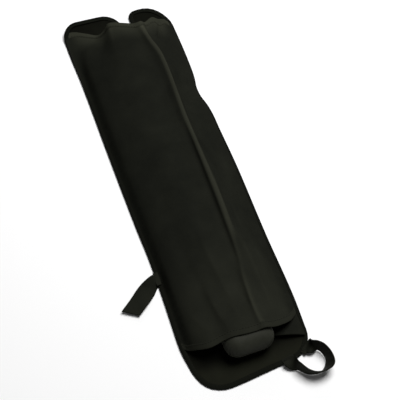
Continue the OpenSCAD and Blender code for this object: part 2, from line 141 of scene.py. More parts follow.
def run_length(path):
    """Distance along a path at each of its points."""
    return np.concatenate([[0], np.cumsum(np.linalg.norm(np.diff(path, axis=0), axis=1))])


def new_object(name, verts, faces, uvs=None, smooth=True):
    """A mesh object from points in millimetres, with a UV map in metres of cloth where uvs is given."""
    mesh = bpy.data.meshes.new(name)
    mesh.from_pydata([tuple(c * MM for c in v) for v in verts], [], [tuple(f) for f in faces])
    if uvs is not None:
        layer = mesh.uv_layers.new(name="cloth")
        where = np.empty(len(mesh.loops), np.int32)
        mesh.loops.foreach_get("vertex_index", where)
        layer.data.foreach_set("uv", (np.asarray(uvs, float)[where] * MM).ravel())
    mesh.polygons.foreach_set("use_smooth", [smooth] * len(mesh.polygons))
    mesh.update()
    obj = bpy.data.objects.new(name, mesh)
    bpy.context.scene.collection.objects.link(obj)
    return obj


def only(obj):
    """Makes obj the one selected and active object."""
    bpy.ops.object.select_all(action="DESELECT")
    obj.select_set(True)
    bpy.context.view_layer.objects.active = obj


def apply(obj, mod):
    only(obj)
    bpy.ops.object.modifier_apply(modifier=mod.name)


def on_whole_mesh(obj, operator, **settings):
    """Runs an edit mode operator on every vertex of obj."""
    only(obj)
    bpy.ops.object.mode_set(mode="EDIT")
    bpy.ops.mesh.select_all(action="SELECT")
    operator(**settings)
    bpy.ops.object.mode_set(mode="OBJECT")


def thicken(obj, thickness, offset=-1.0, inner_slot=0, rim_slot=0):
    """Gives an open sheet its real thickness, in millimetres."""
    mod = obj.modifiers.new("thickness", "SOLIDIFY")
    mod.thickness = thickness * MM
    mod.offset = offset
    mod.use_even_offset = False
    mod.material_offset = inner_slot
    mod.material_offset_rim = rim_slot
    apply(obj, mod)


def round_edges(obj, width, angle=50):
    """Rounds the sharp edges by a small bevel, in millimetres."""
    mod = obj.modifiers.new("soft edges", "BEVEL")
    mod.width = width * MM
    mod.segments = 2
    mod.limit_method = "ANGLE"
    mod.angle_limit = math.radians(angle)
    apply(obj, mod)


def finish_piece(obj, body, slot, *materials):
    """Gives a piece its materials and its body; a piece whose body is named in BENDS gets no body, its
    transform baked into its mesh.
    """
    for m in materials:
        obj.data.materials.append(m)
    if body in BENDS:
        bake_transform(obj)
    else:
        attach(obj, body)
    return obj


# ---------------------------------------------------------------- materials


def node(tree, kind, settings=None, links=None):
    """Adds a node, sets its properties and sockets, and links its inputs from (node, output) pairs."""
    n = tree.nodes.new(kind)
    for key, value in (settings or {}).items():
        if isinstance(key, str) and hasattr(n, key) and key not in n.inputs:
            setattr(n, key, value)
        else:
            n.inputs[key].default_value = value
    for key, (source, output) in (links or {}).items():
        tree.links.new(source.outputs[output], n.inputs[key])
    return n


def start_material(name, settings):
    """A new principled material and its shader, or the one already made and nothing to fill in."""
    mat = bpy.data.materials.get(name)
    if mat:
        return mat, None, None
    mat = bpy.data.materials.new(name)
    mat.use_nodes = True
    tree = mat.node_tree
    shader = tree.nodes["Principled BSDF"]
    for key, value in settings.items():
        shader.inputs[key].default_value = value
    return mat, tree, shader


def object_noise(tree, scale, detail, roughness=0.5):
    """Noise that is fixed to the piece."""
    place = node(tree, "ShaderNodeTexCoord")
    settings = {"Scale": scale, "Detail": detail, "Roughness": roughness}
    return node(tree, "ShaderNodeTexNoise", settings, {"Vector": (place, "Object")})


def mapped(tree, source, low, high, to_low, to_high):
    """A noise value between low and high, spread from to_low to to_high."""
    settings = {"From Min": low, "From Max": high, "To Min": to_low, "To Max": to_high}
    return node(tree, "ShaderNodeMapRange", settings, {"Value": (source, "Fac")})


def add_bump(tree, shader, height, output, strength, depth_mm):
    settings = {"Strength": strength, "Distance": depth_mm * MM}
    bump = node(tree, "ShaderNodeBump", settings, {"Height": (height, output)})
    tree.links.new(bump.outputs["Normal"], shader.inputs["Normal"])


def woven_cloth(name, colour, light, pitch_mm, bump_mm, shine, roughness, mottling=0.12):
    """Woven polyester: two crossing thread waves give the bump, slow noise gives brushed patches, and a vertex
    attribute adds painted highlights towards the paler colour.
    """
    tint_of_shine = (0.95, 1.0, 0.72, 1.0)
    mat, tree, shader = start_material(
        name, {"Roughness": roughness, "Specular IOR Level": shine, "Specular Tint": tint_of_shine}
    )
    if tree is None:
        return mat
    uv = node(tree, "ShaderNodeUVMap", {"uv_map": "cloth"})
    bands = math.pi / 10 / (pitch_mm * MM)  # a band wave repeats every pi / 10 over its scale
    warp, weft = (
        node(
            tree,
            "ShaderNodeTexWave",
            {"wave_type": "BANDS", "bands_direction": way, "Scale": bands, "Distortion": 0.6},
            {"Vector": (uv, "UV")},
        )
        for way in "XY"
    )
    threads = node(tree, "ShaderNodeMath", {"operation": "MAXIMUM"}, {0: (warp, "Fac"), 1: (weft, "Fac")})
    fuzz = object_noise(tree, 900.0, 2.0, 0.6)
    patches = mapped(tree, object_noise(tree, 28.0, 4.0, 0.6), 0.35, 0.75, 0.0, mottling)
    fine = node(tree, "ShaderNodeMath", {"operation": "MULTIPLY_ADD", 1: 0.15, 2: 0.0}, {0: (fuzz, "Fac")})
    # painted highlight: the vertex attribute read here lightens fold crests, hemmed ends, the mouth end and the
    # flap towards the paler colour
    highlighted = node(tree, "ShaderNodeAttribute", {"attribute_name": "painted_light"})
    both = node(tree, "ShaderNodeMath", {"operation": "ADD"}, {0: (patches, "Result"), 1: (fine, "Value")})
    share = node(
        tree,
        "ShaderNodeMath",
        {"operation": "ADD", "use_clamp": True},
        {0: (both, "Value"), 1: (highlighted, "Fac")},
    )
    tint = node(
        tree,
        "ShaderNodeMix",
        {"data_type": "RGBA", "clamp_factor": True, 6: colour, 7: light},
        {0: (share, "Value")},
    )
    tree.links.new(tint.outputs[2], shader.inputs["Base Color"])
    height = node(
        tree,
        "ShaderNodeMath",
        {"operation": "MULTIPLY_ADD", 1: 0.5},
        {0: (fuzz, "Fac"), 2: (threads, "Value")},
    )
    add_bump(tree, shader, height, "Value", 0.5, bump_mm)
    return mat


def moulded_plastic(name, colour, light, roughness):
    """Moulded nylon or rubber with a fine spark-eroded grain and faint handling marks."""
    mat, tree, shader = start_material(name, {"Roughness": roughness, "Specular IOR Level": 0.12})
    if tree is None:
        return mat
    share = mapped(tree, object_noise(tree, 45.0, 5.0, 0.7), 0.4, 0.8, 0.0, 0.6)
    tint = node(tree, "ShaderNodeMix", {"data_type": "RGBA", 6: colour, 7: light}, {0: (share, "Result")})
    tree.links.new(tint.outputs[2], shader.inputs["Base Color"])
    add_bump(tree, shader, object_noise(tree, 1400.0, 3.0), "Fac", 0.35, 0.05)
    return mat


def coated_metal(name, colour, metallic, roughness, grain_scale, bump_mm):
    """Metal with a fine coat: powder coat, plating or drawn steel, by its metallic value and grain."""
    mat, tree, shader = start_material(name, {"Base Color": colour, "Metallic": metallic})
    if tree is None:
        return mat
    grain = object_noise(tree, grain_scale, 3.0, 0.6)
    rough = mapped(tree, grain, 0.3, 0.7, roughness * 0.8, roughness * 1.25)
    tree.links.new(rough.outputs["Result"], shader.inputs["Roughness"])
    add_bump(tree, shader, grain, "Fac", 0.3, bump_mm)
    return mat


# ---------------------------------------------------------------- cloth shapes


def arc_x(x0, r, side, steps=9):
    """x positions of a quarter round of radius r whose outer edge is x0."""
    return [x0 - side * r * (1 - math.cos(a)) for a in np.linspace(0, math.pi / 2, steps)]


left_edge = through(
    [(-265, -2, 0), (-235, 1.4, 0), (-203, -1.6, 0), (-165, -0.6, 0), (-122, 0.8, 0), (-85, 1.3, 0),
     (-45, 0.3, 0),
     (60, -0.4, 0), (180, -0.4, 0), (215, -1.5, 0), (265, -1.5, 0)]
)
right_edge = through(
    [(-265, 0, 0), (-225, 0.6, 0), (-185, 2.3, 0), (-100, 1.5, 0), (0, 2.3, 0), (55, 1.0, 0), (80, 0.5, 0),
     (94, -1.3, 0),
     (107, -4.3, 0), (121, -4.9, 0), (134, -2.8, 0), (148, -1.5, 0), (265, -1.5, 0)]
)


def wavy(x, y):
    """Moves a point of cloth sideways so that the bag's long edges are as uneven as soft cloth lies."""
    if x < 0:
        return x + left_edge(y)[0][0] * smooth_step(-x, 30, 67)
    return x + right_edge(y)[0][0] * smooth_step(x, 30, 67)


class BackSheet:
    """Outline and relief of the back sheet with its two end tabs and its flap."""

    near_r, far_r = 38.0, 30.0
    notch_x, notch_r = 12.0, 6.0
    left_tab = (20.0, 24.0)
    right_tab = (9.0, 37.0)

    def __init__(self):
        self.left, self.right = -SIDE + 1.0, SIDE - 1.0
        self.low, self.high = FLAP_END + 2.2, TAB_END - 1.0
        self.notch_y = self.high - 22.0
        self.nl, self.nr = self.notch_x - self.notch_r, self.notch_x + self.notch_r

    def low_y(self, x):
        """Flap edge: it slopes up a little to the right and turns up at both corners."""
        y = self.low + 7.0 * smooth_step(x, -45, 50)
        return float(y + self.corner(x, self.left, self.near_r, 1) + self.corner(x, self.right, self.far_r, -1))

    def high_y(self, x):
        """End edge of the tabs; the right tab is cut shorter than the left."""
        if x <= self.nl:
            y, ends, radii = self.high, (self.left, self.nl), self.left_tab
        else:
            y, ends, radii = self.high - 4.0, (self.nr, self.right), self.right_tab
        return float(y - self.corner(x, ends[0], radii[0], 1) - self.corner(x, ends[1], radii[1], -1))

    @staticmethod
    def corner(x, edge, r, way):
        """How far a corner of radius r has turned in at x."""
        d = max(0.0, edge + way * r - x if way > 0 else x - (edge - r))
        return r - math.sqrt(max(r * r - d * d, 0.0))

    def tab_root_y(self, x):
        """Where a tab begins: level with the notch, or at the tab's own edge where that is lower."""
        return min(self.notch_y, self.high_y(x))

    def base_y(self, x):
        """Upper edge of the sheet without its tabs."""
        if self.nl < x < self.nr:
            return self.notch_y - math.sqrt(self.notch_r**2 - (x - self.notch_x) ** 2)
        return self.tab_root_y(x)

    def z(self, x, y):
        """Height of the sheet's middle: flat on the floor, with curled tabs and flap edge."""
        z = 0.95
        tab = max(0.0, y - (END + 2)) / 32
        side = abs(x - self.notch_x) / 60
        z += tab**1.6 * (6.0 * side + 2.5)
        lip = max(0.0, FOLD - 2 - y) / 22 * float(smooth_step(x, -31, -15))
        z += lip**1.5 * (0.55 + 0.3 * math.sin(x * 0.05 + 1))
        z += 0.2 * (1 + noise.noise(Vector((x * 0.03, y * 0.03, 3.7)))) * min(1.0, 0.3 + tab + lip)
        return z

    def point(self, x, y):
        return (wavy(x, y), y, self.z(x, y))

    def edge(self):
        """The outline from the notch's base, round the left, the flap and the right, back to the notch."""

        def run(a, b, n):
            return [(a[0] + (b[0] - a[0]) * t, a[1] + (b[1] - a[1]) * t) for t in np.linspace(0, 1, n)][1:]

        def side(x0, r0, x1, r1, n, y):
            straight = list(np.linspace(x0 + r0, x1 - r1, n))
            xs = sorted(set(np.round(arc_x(x0, r0, -1) + straight + arc_x(x1, r1, 1), 4)))
            return [(x, y(x)) for x in xs]

        quarter = [(math.sin(a), math.cos(a)) for a in np.linspace(0, math.pi / 2, 6)]
        nx, ny, nr = self.notch_x, self.notch_y, self.notch_r
        line = [(nx - nr * a, ny - nr * b) for a, b in quarter]
        line += run((self.nl, ny), (self.nl, self.high_y(self.nl)), 3)
        line += side(self.left, self.left_tab[0], self.nl, self.left_tab[1], 8, self.high_y)[::-1][1:]
        line += run((self.left, self.high_y(self.left)), (self.left, self.low_y(self.left)), 140)
        line += side(self.left, self.near_r, self.right, self.far_r, 20, self.low_y)[1:]
        line += run((self.right, self.low_y(self.right)), (self.right, self.high_y(self.right)), 140)
        line += side(self.nr, self.right_tab[0], self.right, self.right_tab[1], 4, self.high_y)[::-1][1:]
        line += run((self.nr, self.high_y(self.nr)), (self.nr, ny), 3)
        line += [(nx + nr * b, ny - nr * a) for a, b in quarter][1:-1]
        return line


def back_sheet_mesh(name, sheet):
    """The cloth itself: columns below the notch's level, then one block for each tab."""
    spread = (
        arc_x(sheet.left, sheet.near_r, -1)
        + arc_x(sheet.left, sheet.left_tab[0], -1)
        + arc_x(sheet.nl, sheet.left_tab[1], 1)
        + arc_x(sheet.nr, sheet.right_tab[0], -1)
        + arc_x(sheet.right, sheet.right_tab[1], 1)
        + arc_x(sheet.right, sheet.far_r, 1)
        + [sheet.notch_x + sheet.notch_r * c for c in (-0.87, -0.5, 0, 0.5, 0.87)]
        + list(np.linspace(-30, -18, 4))
    )
    xs = [sheet.left]
    for x in sorted(np.round(spread, 3)):
        if x - xs[-1] > 0.35:
            xs.append(x)
    xs = sorted(set(xs) | {sheet.nl, sheet.nr, sheet.right})
    verts, faces = [], []

    def block(cols, bottom, top, rows):
        first = len(verts)
        for x in cols:
            for t in rows:
                y = bottom(x) + (top(x) - bottom(x)) * t
                verts.append(sheet.point(x, y))
        n = len(rows)
        for i in range(len(cols) - 1):
            for j in range(n - 1):
                a = first + i * n + j
                faces.append((a, a + n, a + n + 1, a + 1))

    block(xs, sheet.low_y, sheet.base_y, np.linspace(0, 1, 120))
    for tab in ([x for x in xs if x <= sheet.nl + 1e-3], [x for x in xs if x >= sheet.nr - 1e-3]):
        block(tab, sheet.tab_root_y, sheet.high_y, np.linspace(0, 1, 9))
    obj = new_object(name, verts, faces, [(v[0], v[1]) for v in verts])
    # painted light: the flap below the fold is mixed 0.3 towards the lining's paler colour
    painted_light = [0.3 * float(smooth_step(-v[1], -FOLD - 14, -FOLD + 4)) for v in verts]
    obj.data.attributes.new("painted_light", "FLOAT", "POINT").data.foreach_set("value", painted_light)
    on_whole_mesh(obj, bpy.ops.mesh.remove_doubles, threshold=0.02 * MM)
    return obj


class FrontCloth:
    """The front panel over the folded stand, from guide lines along the bag with (y, x, z) points."""

    guides = [
        [(-214, -68.6, 1.9), (60, -68.6, 1.9), (232, -68.6, 3.6)],
        [(-214, -65.6, 2.4), (160, -65.6, 2.6), (205, -64.5, 3.6), (232, -61, 5.5)],
        [(-214, -62, 4.4), (-150, -62.6, 5.0), (80, -62.6, 5.2), (160, -62, 5.0), (190, -60.5, 5.5),
         (212, -54, 6.5), (232, -40, 6.8)],
        [(-214, -54.5, 15), (-180, -55.5, 17), (-130, -56.3, 16.5), (-60, -56.5, 16.5), (80, -56, 17),
         (150, -55.2, 16.6), (180, -53.5, 16), (200, -48, 13.5), (216, -38, 10.5), (232, -29, 8.5)],
        [(-214, -42.5, 24.5), (-180, -43.5, 25.4), (-130, -45, 24.6), (-60, -45, 25), (80, -44, 25.5),
         (150, -42, 25), (184, -37, 23.5), (208, -28.5, 21.5), (232, -20.5, 20)],
        [(-214, -26, 30), (-180, -27, 30.5), (-60, -28, 32), (80, -27, 33), (160, -24, 33), (205, -18.5, 33),
         (232, -15.5, 32)],
        [(-214, -16, 35.1), (-180, -17, 35.1), (-60, -17, 35.8), (80, -16, 36), (160, -14, 36),
         (232, -9, 34.8)],
        [(-214, -4, 36.5), (-150, -5, 36.6), (-60, -5, 37), (80, -4, 37.2), (160, -1, 37), (232, 3, 35.2)],
        [(-214, 11, 36.0), (-150, 13, 36.0), (-60, 17, 35.6), (80, 19, 36.3), (160, 20, 36.5), (232, 13, 34.6)],
        [(-214, 20.5, 37.8), (-190, 18.8, 38.4), (-165, 20, 38.9), (-132, 23.8, 39.2), (-97, 27, 39.4),
         (-38, 29.4, 40), (15, 29, 40.3), (63, 29.5, 40.5), (155, 32.5, 40.3), (199, 26, 38.4),
         (232, 23, 36.4)],
        [(-214, 30.5, 31.5), (-150, 37, 35.2), (-80, 38, 35.2), (0, 36, 32), (80, 34.8, 31),
         (160, 37.5, 30.5), (205, 31, 29), (232, 31, 27)],
        [(-214, 44, 23), (-150, 46.5, 28.5), (-80, 46.5, 27.5), (0, 45, 19.5), (80, 44.5, 16),
         (160, 44.5, 18), (205, 42, 19), (232, 46, 24)],
        [(-214, 55.5, 12.5), (-150, 55.5, 13), (-80, 55.5, 12.5), (0, 55, 9.5), (80, 54.5, 8.5),
         (160, 53.5, 9.8), (205, 55, 11), (232, 57, 15)],
        [(-214, 63.5, 3.6), (0, 63.5, 4.2), (160, 62.5, 6.2), (232, 63, 7)],
        [(-214, 68.6, 1.9), (60, 68.6, 1.9), (232, 68.6, 3.5)],
    ]
    end_line = staticmethod(through(
        [(-69, 18, 0), (-62, 21, 0), (-55, 20, 0), (-42, 12, 0), (-28, 2.5, 0), (-15, -1.5, 0), (5, -10, 0),
         (20, -15, 0), (27, -13, 0), (42, -5, 0), (49, -8, 0), (57, -5, 0), (62, -4, 0), (69, -9, 0)]
    ))
    mouth_line = staticmethod(through(
        [(-69, 15, 0), (-64, 9, 0), (-57, 2, 0), (-43, -5.5, 0), (-25, -5, 0), (0, -8, 0), (18, -8.5, 0),
         (36, -8, 0), (53, -2, 0), (60, 4, 0), (66, 11, 0), (69, 15, 0)]
    ))
    creases = [
        ((-2, -100), (17, -200), 6.0, -0.35),
        ((-34, -80), (-16, -195), 7.0, -0.35),
        ((6, -158), (15, -196), 2.6, -0.45),
        ((-8, -168), (4, -206), 2.8, -0.4),
        ((-9, -85), (-1, -207), 6.0, 1.7),
        ((-28, -100), (-19, -204), 5.0, 0.9),
        ((37, -212), (33, -90), 4.2, 1.5),
        ((24, 60), (19, -150), 3.6, -2.2),
        ((37, 30), (38, 190), 3.6, -2.2),
        ((37, -30), (34, -110), 3.6, -1.8),
        ((-26, -150), (-20, -200), 3.2, 0.4),
        ((-50, -175), (-36, -205), 3.0, 0.5),
        ((41, 196), (52, 222), 3.4, -2.4),
        ((31, 186), (46, 218), 3.4, 1.0),
        ((-48, 60), (-30, -40), 8.0, -0.35),
        ((-12, 170), (2, 60), 9.0, -0.3),
        ((44, 140), (62, 118), 4.0, -0.8),
        ((46, 112), (64, 124), 3.5, 0.7),
    ]

    def __init__(self, across=11, rows=180):
        self.lines = [through(g) for g in self.guides]
        self.across, self.rows = across, rows

    def section(self, s):
        """Points across the cloth at station s, dense enough for the crease to stay crisp."""
        knots = np.array([line(s)[0] for line in self.lines])
        gaps = np.linalg.norm(np.diff(knots, axis=0), axis=1)
        t = np.concatenate([[0], np.cumsum(np.sqrt(gaps))])
        curve = through(np.column_stack([t, knots]))
        spans = [np.linspace(a, b, self.across, endpoint=False) for a, b in zip(t[:-1], t[1:])]
        return curve(np.concatenate(spans + [t[-1:]]))

    def relief(self, x, y):
        """Creases and the slight unevenness of soft cloth, as height along the normal."""
        h = 0.0
        for (x0, y0), (x1, y1), width, height in self.creases:
            dx, dy = x1 - x0, y1 - y0
            t = ((x - x0) * dx + (y - y0) * dy) / (dx * dx + dy * dy)
            taper = max(0.0, 1 - (2 * t - 1) ** 4) if 0 < t < 1 else 0.0
            d = math.hypot(x - x0 - t * dx, y - y0 - t * dy) / width
            h += height * taper * math.exp(-d * d)
        h += 0.35 * noise.noise(Vector((x * 0.035, y * 0.012, 1.3)))
        h += 0.16 * noise.noise(Vector((x * 0.11, y * 0.045, 5.1)))
        near_seam = math.exp(-(((SIDE - abs(x) - 8) / 4.5) ** 2))
        h += 0.35 * near_seam * math.sin(y * 0.75 + 2.5 * noise.noise(Vector((x * 0.02, y * 0.02, 9.0))))
        return h

    def grid(self):
        """Rows of points from the mouth to the far end."""
        stations = np.linspace(MOUTH, END, self.rows)
        rows = []
        for s in stations:
            p = self.section(s)
            x, z = p[:, 0], p[:, 1]
            tangent = np.gradient(p, axis=0)
            normal = np.column_stack([-tangent[:, 1], tangent[:, 0]])
            normal /= np.linalg.norm(normal, axis=1)[:, None]
            fade = smooth_step(SIDE - np.abs(x), 2, 14)
            y = s + self.mouth_line(x)[:, 0] * (1 - smooth_step(s, MOUTH, MOUTH + 90))
            y = y + self.end_line(x)[:, 0] * smooth_step(s, END - 110, END)
            h = np.array([self.relief(a, b) for a, b in zip(x, y)]) * fade
            px = np.array([wavy(a, b) for a, b in zip(x + normal[:, 0] * h, y)])
            rows.append(np.column_stack([px, y, z + normal[:, 1] * h]))
        return np.array(rows)


def painted_highlights(rows):
    """Painted highlight at each point: the crests of narrow folds are lighter, and so are the far hemmed end
    and, less, the mouth end.
    """
    way = np.diff(rows, axis=1)
    angle = np.unwrap(np.arctan2(way[:, :, 2], way[:, :, 0]), axis=1)
    length = np.linalg.norm(way, axis=2)
    bend = np.zeros(rows.shape[:2])
    bend[:, 1:-1] = -np.diff(angle, axis=1) / ((length[:, 1:] + length[:, :-1]) / 2)
    for _ in range(9):
        bend[:, 1:-1] = (bend[:, :-2] + 2 * bend[:, 1:-1] + bend[:, 2:]) / 4
        bend[1:-1] = (bend[:-2] + 2 * bend[1:-1] + bend[2:]) / 4
    # painted highlight along the crests of narrow folds, where light catches the ridge
    painted_light = smooth_step(bend, 0.03, 0.2)
    run = run_length(rows[:, rows.shape[1] // 2])
    # painted highlight: lighter towards the far hemmed end and, less so, towards the mouth
    far = smooth_step(run, run[-1] - 30, run[-1]) * 0.5
    near = smooth_step(-run, -150, -40) * 0.16
    side = smooth_step(SIDE - np.abs(rows[:, :, 0]), 4, 20)
    return np.clip(0.42 * painted_light * side + (far + near)[:, None] * side, 0, 1)


def grid_object(name, rows, painted_light=None):
    """A sheet from rows of points, whose UV map holds the distances along the cloth."""
    n, m, _ = rows.shape
    across = np.array([run_length(row) for row in rows])
    across -= across[:, m // 2 : m // 2 + 1]
    along = np.array([run_length(column) for column in rows.swapaxes(0, 1)]).T
    corners = [i * m + j for i in range(n - 1) for j in range(m - 1)]
    faces = [(c, c + 1, c + m + 1, c + m) for c in corners]
    uvs = np.stack([across, along], axis=2).reshape(-1, 2)
    obj = new_object(name, rows.reshape(-1, 3), faces, uvs)
    # the optional per-point values are painted highlights, kept as a vertex attribute for the cloth shader
    if painted_light is not None:
        highlighted = obj.data.attributes.new("painted_light", "FLOAT", "POINT")
        highlighted.data.foreach_set("value", painted_light.astype(np.float32).ravel())
    return obj


def tape(name, path, inward, width, thick, closed=False, sides=12):
    """A flat oval tape along path; inward points from the cloth's edge into the cloth."""
    path, inward = np.array(path, float), np.array(inward, float)
    n = len(path)
    thick = np.broadcast_to(np.asarray(thick, float), (n,))
    tangent = np.roll(path, -1, axis=0) - np.roll(path, 1, axis=0) if closed else np.gradient(path, axis=0)
    tangent /= np.linalg.norm(tangent, axis=1)[:, None]
    inward = inward - (inward * tangent).sum(1)[:, None] * tangent
    inward /= np.linalg.norm(inward, axis=1)[:, None]
    up = np.cross(tangent, inward)
    length = run_length(path)
    verts, uvs, faces = [], [], []
    for i in range(n):
        for k in range(sides):
            a = 2 * math.pi * k / sides
            c, s = math.cos(a), math.sin(a)
            w = math.copysign(abs(c) ** 0.6, c) * width / 2
            h = math.copysign(abs(s) ** 0.8, s) * thick[i] / 2
            verts.append(path[i] + inward[i] * (w + width / 2 - 0.4) + up[i] * h)
            uvs.append((w + (0 if s > 0 else width), length[i]))
    for i in range(n - 1 if not closed else n):
        j = (i + 1) % n
        for k in range(sides):
            l = (k + 1) % sides
            faces.append((i * sides + k, i * sides + l, j * sides + l, j * sides + k))
    if not closed:
        faces.append(tuple(range(sides))[::-1])
        faces.append(tuple((n - 1) * sides + k for k in range(sides)))
    return new_object(name, verts, faces, uvs)


def stitches(name, path, up, pitch=3.4, length=2.3, thick=0.55):
    """A row of sewn stitches: short rounded thread humps along path, standing along up."""
    path, up = np.array(path, float), np.array(up, float)
    run = run_length(path)
    verts, faces = [], []
    count = int(run[-1] // pitch)
    for c in range(count):
        mid = (c + 0.5) * pitch
        ends = [
            np.array([np.interp(mid + d, run, path[:, k]) for k in range(3)]) for d in (-length / 2, length / 2)
        ]
        normal = np.array([np.interp(mid, run, up[:, k]) for k in range(3)])
        normal /= np.linalg.norm(normal)
        along = ends[1] - ends[0]
        across = np.cross(along, normal)
        across /= np.linalg.norm(across)
        first = len(verts)
        for t, r in ((0.0, 0.35), (0.25, 0.9), (0.5, 1.0), (0.75, 0.9), (1.0, 0.35)):
            centre = ends[0] + along * t + normal * thick * (0.75 * math.sin(math.pi * t) - 0.25)
            for a in range(6):
                q = math.pi * a / 3
                verts.append(centre + (across * math.cos(q) + normal * math.sin(q)) * thick / 2 * r)
        for i in range(4):
            for a in range(6):
                b = (a + 1) % 6
                ring = first + i * 6
                faces.append((ring + a, ring + b, ring + 6 + b, ring + 6 + a))
        faces.append(tuple(first + a for a in range(6))[::-1])
        faces.append(tuple(first + 24 + a for a in range(6)))
    return new_object(name, verts, faces)


def ribbon(name, centres, widths_dir, width, thick, skew=0.0):
    """Webbing along centres; widths_dir points across it, width may vary, and skew slants its cut end."""
    c, w = np.array(centres, float), np.array(widths_dir, float)
    width = np.broadcast_to(np.asarray(width, float), (len(c),))
    tangent = np.gradient(c, axis=0)
    tangent /= np.linalg.norm(tangent, axis=1)[:, None]
    w = w - (w * tangent).sum(1)[:, None] * tangent
    w /= np.linalg.norm(w, axis=1)[:, None]
    up = np.cross(tangent, w)
    run = run_length(c)
    outline = [(-0.5, -0.25), (-0.5, 0.25), (-0.475, 0.5)]
    outline += [(x, 0.5) for x in np.linspace(-0.4, 0.4, 9)]
    outline += [(0.475, 0.5), (0.5, 0.25), (0.5, -0.25), (0.475, -0.5)]
    outline += [(x, -0.5) for x in np.linspace(0.4, -0.4, 9)] + [(-0.475, -0.5)]
    k = len(outline)
    slant = skew * smooth_step(run, run[-1] - 22, run[-1])
    verts, uvs, faces = [], [], []
    for i in range(len(c)):
        for a, b in outline:
            across = a * width[i]
            verts.append(c[i] + w[i] * across + up[i] * b * thick + tangent[i] * across * slant[i])
            uvs.append((a * 20 + (0 if b > 0 else 40), run[i]))
    for i in range(len(c) - 1):
        for a in range(k):
            b = (a + 1) % k
            faces.append((i * k + a, i * k + b, (i + 1) * k + b, (i + 1) * k + a))
    faces.append(tuple(range(k))[::-1])
    faces.append(tuple((len(c) - 1) * k + a for a in range(k)))
    obj = new_object(name, verts, faces, uvs)
    on_whole_mesh(obj, bpy.ops.mesh.normals_make_consistent, inside=False)
    return obj


# ---------------------------------------------------------------- webbing

# distance along the webbing, then a place, a direction across it or a width, mm
LOOP_RUN, STRAP_RUN = 97, 57
loop_path = through(
    [(0, 61.5, -243.5, 3.0), (5, 63.8, -246.8, 4.6), (10.5, 67.4, -249, 8.2), (15.5, 71.6, -250.8, 9.8),
     (22, 76, -255, 9.8), (31.6, 79.2, -265.3, 9.6), (41, 77.4, -275.2, 9.4), (50.3, 69.3, -280.4, 9.2),
     (59.1, 60.2, -280.4, 9.1), (70, 51, -275.4, 8.9), (81.5, 44, -266.2, 8.9), (90.5, 39.6, -258.8, 6.0),
     (97, 36.6, -253.8, 4.0)]
)
loop_across = through(
    [(0, 0.92, 0.36, 0.08), (5, 0.85, 0.35, 0.45), (10.5, 0.6, 0.2, 0.8), (15.5, 0.4, 0.05, 0.92),
     (22, 0.33, -0.05, 0.94), (31.6, 0.36, -0.2, 0.9), (41, 0.33, -0.45, 0.8), (50.3, 0.1, -0.35, 0.93),
     (59.1, -0.05, -0.22, 0.97), (70, 0.1, -0.12, 0.98), (81.5, 0.3, -0.15, 0.85), (90.5, 0.7, -0.45, 0.35),
     (97, 0.85, -0.5, 0.08)]
)
# where each end of the loop is sewn down, its way out and the depth of the patch
LOOP_ROOTS = (((62, -249.5), (0.6, -0.8), 5.5), ((38.5, -258.5), (0.2, -0.98), 9.0))
# the strap's path is measured from the middle of its sewn end along the bag
strap_path = through(
    [(0, -63, 1.5, 2.9), (6, -68, -0.6, 3.4), (14, -74.5, -4.2, 4.4), (26, -84, -11, 3.8),
     (40, -95.5, -20, 3.3), (57, -108.8, -30.3, 3.3)]
)
strap_across = through(
    [(0, 0.0, 1, 0.0), (6, 0.12, 0.98, 0.25), (14, 0.35, 0.85, 0.35), (26, 0.52, 0.82, 0.14),
     (40, 0.6, 0.8, 0.0), (57, 0.6, 0.8, 0.0)]
)
strap_width = through([(0, 13, 0), (6, 15, 0), (14, 17.5, 0), (26, 20, 0), (57, 20, 0)])


def densely(corners, steps):
    """Points along straight runs between corners."""
    return np.vstack([np.linspace(a, b, steps) for a, b in zip(corners[:-1], corners[1:])])


def sewn_root(number, root, way_out, deep, made):
    """The patch where one end of the loop is sewn to the flap, with its box of stitches."""
    out, side = np.array((*way_out, 0.0)), np.array((-way_out[1], way_out[0], 0.0))
    mid = np.array((*root, 0.0))
    rise = ((-deep, 2.2), (-0.67 * deep, 2.6), (-0.22 * deep, 3.0), (1.5, 3.6))
    line = [mid + out * d + (0, 0, h) for d, h in rise]
    patch = ribbon(f"loop_root_{number}", line, np.tile(side, (4, 1)), 15.0, 1.0)
    round_edges(patch, 0.2)
    finish_piece(patch, "flap", "webbing", made["webbing"])
    near, far, half = 2, 6.5, 5.5
    box = ((near, -half), (near, half), (far, half), (far, -half), (near, -half), (far, half))
    dense = densely([mid + out * (a - deep) + side * b + (0, 0, 3.15 + 0.06 * a) for a, b in box], 6)
    up = np.tile((0, 0, 1.0), (len(dense), 1))
    seam = stitches(f"loop_root_stitches_{number}", dense, up, 2.6, 1.8)
    finish_piece(seam, "flap", "webbing", made["thread"])
    return patch


# ---------------------------------------------------------------- settings


class BagSettings(bpy.types.PropertyGroup):
    shell: colour_prop("Shell cloth", "Outer face of the bag", "141512")
    # paler shell colour: random brushed patches mix towards it, and so do the painted highlights on fold crests
    # and hemmed ends
    shell_patch_and_highlight: colour_prop("Worn shell", "Brushed patches and rubbed folds of the outer face", "36372e")
    lining: colour_prop("Lining", "Inner face of the bag", "080807")
    tape: colour_prop("Binding", "Tape along the edges", "0d0e0b")
    webbing: colour_prop("Webbing", "Loop handle and side strap", "141511")
    thread: colour_prop("Thread", "Sewing thread", "1c1d19")
    cloth_t: bpy.props.FloatProperty(
        name="Cloth thickness",
        description="Shell and lining together",
        default=0.8 * MM,
        min=0.3 * MM,
        unit="LENGTH",
    )


class StandSettings(bpy.types.PropertyGroup):
    hub: colour_prop("Hub", "Moulded base hub and collars", "25261f")
    enamel: colour_prop("Enamel", "Tube and desk enamel", "1b1c1c")


